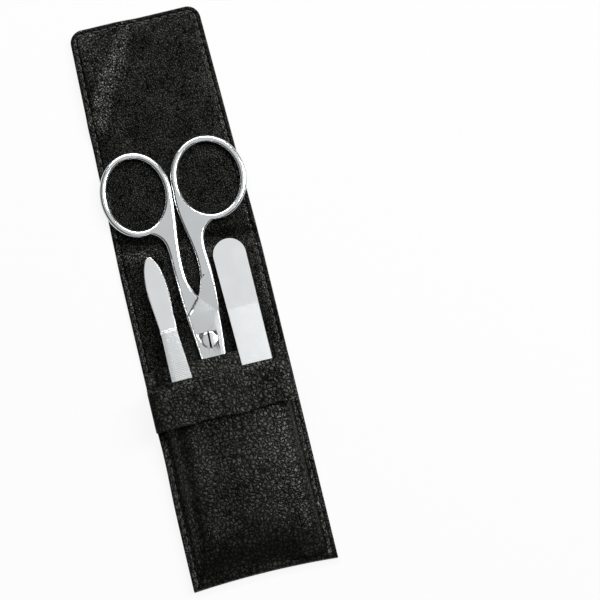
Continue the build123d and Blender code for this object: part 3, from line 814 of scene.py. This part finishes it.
def tweezer_arm():
    """The upper arm: flat and smooth at its welded end, then a bevelled grip cut with fine cross lines."""
    stations = [0.0, 0.25, 0.7, 1.3, 2.0, 3.5, 6.0, 10.5, 17.0, 22.0, 28.0, 36.0, 44.0, 52.0, 60.0, TWEEZER_LENGTH]
    halves = [0.02, 0.62, 1.10, 1.52, 1.9, 2.5, 3.1, 3.6, 3.4, 3.1, 2.8, 3.2, 3.5, 3.35, 3.0, 0.9]
    along = np.concatenate([[0.0, 0.1, 0.25, 0.45, 0.7, 1.0, 1.4, 2.0], np.arange(2.6, GRIP_FROM - 0.15, 0.6),
                            [GRIP_FROM - 0.04, GRIP_FROM + 0.04],
                            np.arange(GRIP_FROM + 0.10, 52.0, TOOTH_PITCH / 8), np.arange(52.5, 90.1, 1.5)])
    # the outline is eased between its stations, except at its two ends
    fine = np.linspace(0, TWEEZER_LENGTH, 2400)
    outline = np.interp(fine, stations, halves)
    kernel = np.hanning(61) / np.hanning(61).sum()
    eased = np.convolve(np.pad(outline, 30, mode="edge"), kernel, "valid")
    half = np.interp(along, fine, np.where((fine > 3) & (fine < 86), eased, outline))
    # the arm is flat at the weld and springs up to its own height
    centre = TOOLS_LOW + 1.6
    top_z = np.interp(along, [0, 7, 27, 90], [centre + 0.9, centre + 0.9, centre + 1.6, centre + 1.6])
    low_z = np.interp(along, [0, 7, 27, 90], [centre, centre, centre + 0.7, centre + 0.7])
    t = np.array([-1, -0.97, -0.92, -0.85, -0.76, -0.66, -0.56, -0.5, -0.4, -0.25, -0.1,
                  0.1, 0.25, 0.4, 0.55, 0.7, 0.82, 0.9, 0.96, 1.0])
    A, T = np.meshgrid(along, t, indexing="ij")
    H = half[:, None]
    from_left, from_right = (1 + T) * H, (1 - T) * H
    grip = (A > GRIP_FROM) & (A < GRIP_TO)
    saw = ((A - GRIP_FROM) / TOOTH_PITCH) % 1.0
    teeth = TOOTH_DEEP * np.abs(2 * saw - 1)
    bevel = 0.10 * np.clip(1.35 - from_left, 0, None) + 0.05 * np.clip(0.8 - from_right, 0, None)
    smooth_edges = rounding(from_left, 0.22) + rounding(from_right, 0.22)
    drop = np.minimum(np.where(grip, 0.05 + teeth + bevel, smooth_edges), 0.78)
    s, c = math.sin(TWEEZER_LEAN), math.cos(TWEEZER_LEAN)
    X = TWEEZER_TOP[0] + A * s + T * H * c
    Y = TWEEZER_TOP[1] - A * c + T * H * s
    return slab("tweezer_arm_grip", np.stack([X, Y, top_z[:, None] - drop], axis=2)[:, ::-1], low_z, TOOL)


arm = tweezer_arm()
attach(arm, "tweezer_jaw")
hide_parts("tweezer_arm_upper")

finish_node("scissor_half_left", STEEL)
for node in ("tweezer_arm_lower", "file_blade"):
    finish_node(node, TOOL)
for node in ("file_grit_upper", "file_grit_lower"):
    finish_node(node, GRIT)


# ---------------------------------------------------------------- floor, light and camera
def floor_and_world():
    """A white floor and sky for the camera, for metal and for glass. The lamps see a grey floor."""
    m, nt, bsdf = material("floor_white")
    bsdf.inputs["Base Color"].default_value = (0.42, 0.42, 0.42, 1)
    bsdf.inputs["Roughness"].default_value = 0.8
    glow = add(nt, "ShaderNodeEmission", Strength=1.0)
    glow.inputs["Color"].default_value = (1, 1, 1, 1)
    path = nt.nodes.new("ShaderNodeLightPath")
    reflected = maths(nt, "MAXIMUM", path.outputs["Is Glossy Ray"], path.outputs["Is Transmission Ray"])
    seen = maths(nt, "MAXIMUM", path.outputs["Is Camera Ray"], reflected)
    mix = nt.nodes.new("ShaderNodeMixShader")
    nt.links.new(maths(nt, "MULTIPLY", seen, 0.88), mix.inputs[0])
    nt.links.new(bsdf.outputs[0], mix.inputs[1])
    nt.links.new(glow.outputs[0], mix.inputs[2])
    out = [n for n in nt.nodes if n.type == "OUTPUT_MATERIAL"][0]
    nt.links.new(mix.outputs[0], out.inputs[0])
    s, z = 20000.0, -0.05
    floor = mesh_piece("floor", [(-s, -s, z), (s, -s, z), (s, s, z), (-s, s, z)], [(0, 1, 2, 3)], m, smooth=False)
    world = bpy.data.worlds.new("studio")
    bpy.context.scene.world = world
    world.use_nodes = True
    wt = world.node_tree
    back = wt.nodes["Background"]
    direction = wt.nodes.new("ShaderNodeTexCoord")
    split = wt.nodes.new("ShaderNodeSeparateXYZ")
    wt.links.new(direction.outputs["Generated"], split.inputs[0])
    sky = ramp(wt, split.outputs["Z"],
               [(0.0, 1.0), (0.10, 1.0), (0.20, 0.10), (0.88, 0.10), (0.96, 0.72), (1.0, 0.72)])
    wt.links.new(sky, back.inputs["Color"])
    back.inputs["Strength"].default_value = 1.0


def softbox(name, place, aim, size, power):
    data = bpy.data.lights.new(name, "AREA")
    data.shape = "RECTANGLE"
    data.size, data.size_y = size
    data.energy = power
    ob = bpy.data.objects.new(name, data)
    bpy.context.collection.objects.link(ob)
    ob.location = place
    ob.rotation_euler = (Vector(place) - Vector(aim)).to_track_quat("Z", "Y").to_euler()
    ob.visible_camera = False


floor_and_world()
AIM = (0.0, 0.04, 0.0)
softbox("box_right", (0.78, 0.20, 1.05), AIM, (0.36, 1.0), 22.0)
softbox("box_top", (0.08, 0.88, 1.00), AIM, (1.0, 0.32), 18.0)
softbox("box_front", (-0.15, -0.75, 1.00), AIM, (0.8, 0.3), 1.3)

# the camera as it was solved from the photo: its focal length is in the photo's pixels
AZIMUTH, ELEVATION = math.radians(-13.73), math.radians(83.5)
DISTANCE = 0.700
LOOK_AT = (0.03330, 0.03256, 0.0)
FOCAL_PIXELS, PHOTO_PIXELS = 2033.5178, 600
SENSOR = 36.0
back = Vector((math.sin(AZIMUTH) * math.cos(ELEVATION), -math.cos(AZIMUTH) * math.cos(ELEVATION),
               math.sin(ELEVATION)))
right = Vector((math.cos(AZIMUTH), math.sin(AZIMUTH), 0))
up = back.cross(right)
camera_data = bpy.data.cameras.new("camera")
camera_data.sensor_fit = "HORIZONTAL"
camera_data.sensor_width = SENSOR
camera_data.lens = FOCAL_PIXELS / PHOTO_PIXELS * SENSOR
camera_data.clip_start, camera_data.clip_end = 0.01, 20.0
camera = bpy.data.objects.new("camera", camera_data)
bpy.context.collection.objects.link(camera)
place = Vector(LOOK_AT) + DISTANCE * back
camera.matrix_world = Matrix.Translation(place) @ Matrix((right, up, back)).transposed().to_4x4()
bpy.context.scene.camera = camera
bpy.context.scene.view_settings.view_transform = "Standard"
